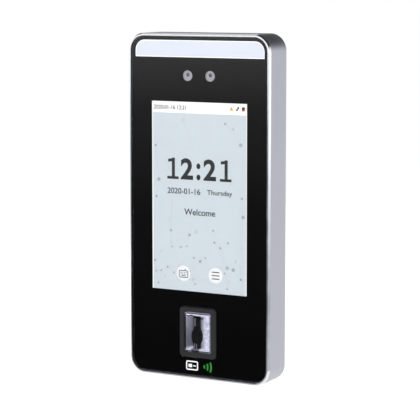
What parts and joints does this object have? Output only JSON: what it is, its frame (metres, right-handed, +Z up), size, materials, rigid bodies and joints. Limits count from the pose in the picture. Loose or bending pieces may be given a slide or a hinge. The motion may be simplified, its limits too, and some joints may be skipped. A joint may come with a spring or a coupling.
{
  "type": "fingerprint access terminal",
  "caption": "Slim wall-mounted door access terminal with an aluminium frame, black glass front, lit top bar, face cameras, portrait touchscreen and raised fingerprint window.",
  "frame": {"origin": "centre of the wall bracket's rear face, which lies on the wall, at the middle of the terminal's width and height", "axes": "+Z up, +X to the right of a person who faces the glass, +Y into the wall, so the glass faces -Y"},
  "size_m": [0.092, 0.0225, 0.2018],
  "materials": {
    "frame_aluminium": "bead-blasted silver sides with a polished front lip and chamfer",
    "cover_glass": "glossy, printed black on its rear face",
    "white_diffuser": "milky translucent acrylic",
    "clear_glass": "coated, glossy",
    "screen": "lit colour screen",
    "dark_plastic": "fine satin",
    "black_plastic": "fine moulded texture",
    "white_plastic": "satin",
    "green_plastic": "satin",
    "blue_plastic": "satin",
    "circuit_board": "green solder mask",
    "foam_tape": "matte foam",
    "rubber": "matte",
    "ribbon": "amber polyimide film",
    "sheet_steel": "tinned sheet",
    "bracket_steel": "zinc-plated pressed sheet",
    "brass": "turned",
    "screw_steel": "nickel plated"
  },
  "bodies": {
    "bracket": {"wall_bracket": "bracket_steel", "security_screw": "screw_steel"},
    "terminal": {"housing_frame": "frame_aluminium", "front_glass": "cover_glass", "glass_tape": "foam_tape", "light_diffuser": "white_diffuser", "light_board": "white_plastic", "camera_holder": "black_plastic", "camera_board": "circuit_board", "camera_barrel_left": "black_plastic", "camera_barrel_right": "black_plastic", "camera_lens_left": "clear_glass", "camera_lens_right": "clear_glass", "camera_ribbon": "ribbon", "display_panel": "screen", "display_backlight": "sheet_steel", "display_ribbon": "ribbon", "microphone_boot": "rubber", "microphone": "sheet_steel", "fingerprint_bezel": "dark_plastic", "fingerprint_platen": "clear_glass", "fingerprint_light_guide": "white_plastic", "fingerprint_lens_block": "black_plastic", "fingerprint_body": "black_plastic", "fingerprint_board": "circuit_board", "carrier_plate": "sheet_steel", "carrier_screw_1": "screw_steel", "carrier_screw_2": "screw_steel", "carrier_screw_3": "screw_steel", "carrier_screw_4": "screw_steel", "antenna_board": "circuit_board", "main_board": "circuit_board", "board_screw_1": "screw_steel", "board_screw_2": "screw_steel", "board_screw_3": "screw_steel", "board_screw_4": "screw_steel", "processor_shield": "sheet_steel", "lock_relay": "blue_plastic", "cell_holder": "black_plastic", "coin_cell": "sheet_steel", "tamper_switch": "black_plastic", "reset_switch": "sheet_steel", "terminal_header_left": "green_plastic", "terminal_header_right": "green_plastic", "ethernet_jack": "sheet_steel", "usb_port": "sheet_steel", "speaker": "black_plastic", "rear_cover": "black_plastic", "cover_screw_1": "screw_steel", "cover_screw_2": "screw_steel", "cover_screw_3": "screw_steel", "cover_screw_4": "screw_steel", "cover_screw_5": "screw_steel", "cover_screw_6": "screw_steel", "lock_insert": "brass"},
    "reset_button": {"reset_button": "black_plastic"},
    "tamper_plunger": {"tamper_plunger": "white_plastic"},
    "plug_left": {"terminal_plug_left": "green_plastic"},
    "plug_right": {"terminal_plug_right": "green_plastic"}
  },
  "joints": [
    {"name": "terminal_lift", "type": "slide", "parent": "bracket", "child": "terminal", "axis": [0, 0, 1], "range_m": [0, 0.008]},
    {"name": "reset_press", "type": "slide", "parent": "terminal", "child": "reset_button", "axis": [0, -1, 0], "range_m": [0, 0.0006], "stiffness_N_per_m": 500, "springref_m": -0.001},
    {"name": "tamper_press", "type": "slide", "parent": "terminal", "child": "tamper_plunger", "axis": [0, -1, 0], "range_m": [0, 0.0012], "stiffness_N_per_m": 300, "springref_m": -0.001},
    {"name": "plug_left_pull", "type": "slide", "parent": "terminal", "child": "plug_left", "axis": [0, 0, -1], "range_m": [0, 0.009]},
    {"name": "plug_right_pull", "type": "slide", "parent": "terminal", "child": "plug_right", "axis": [0, 0, -1], "range_m": [0, 0.009]}
  ]
}
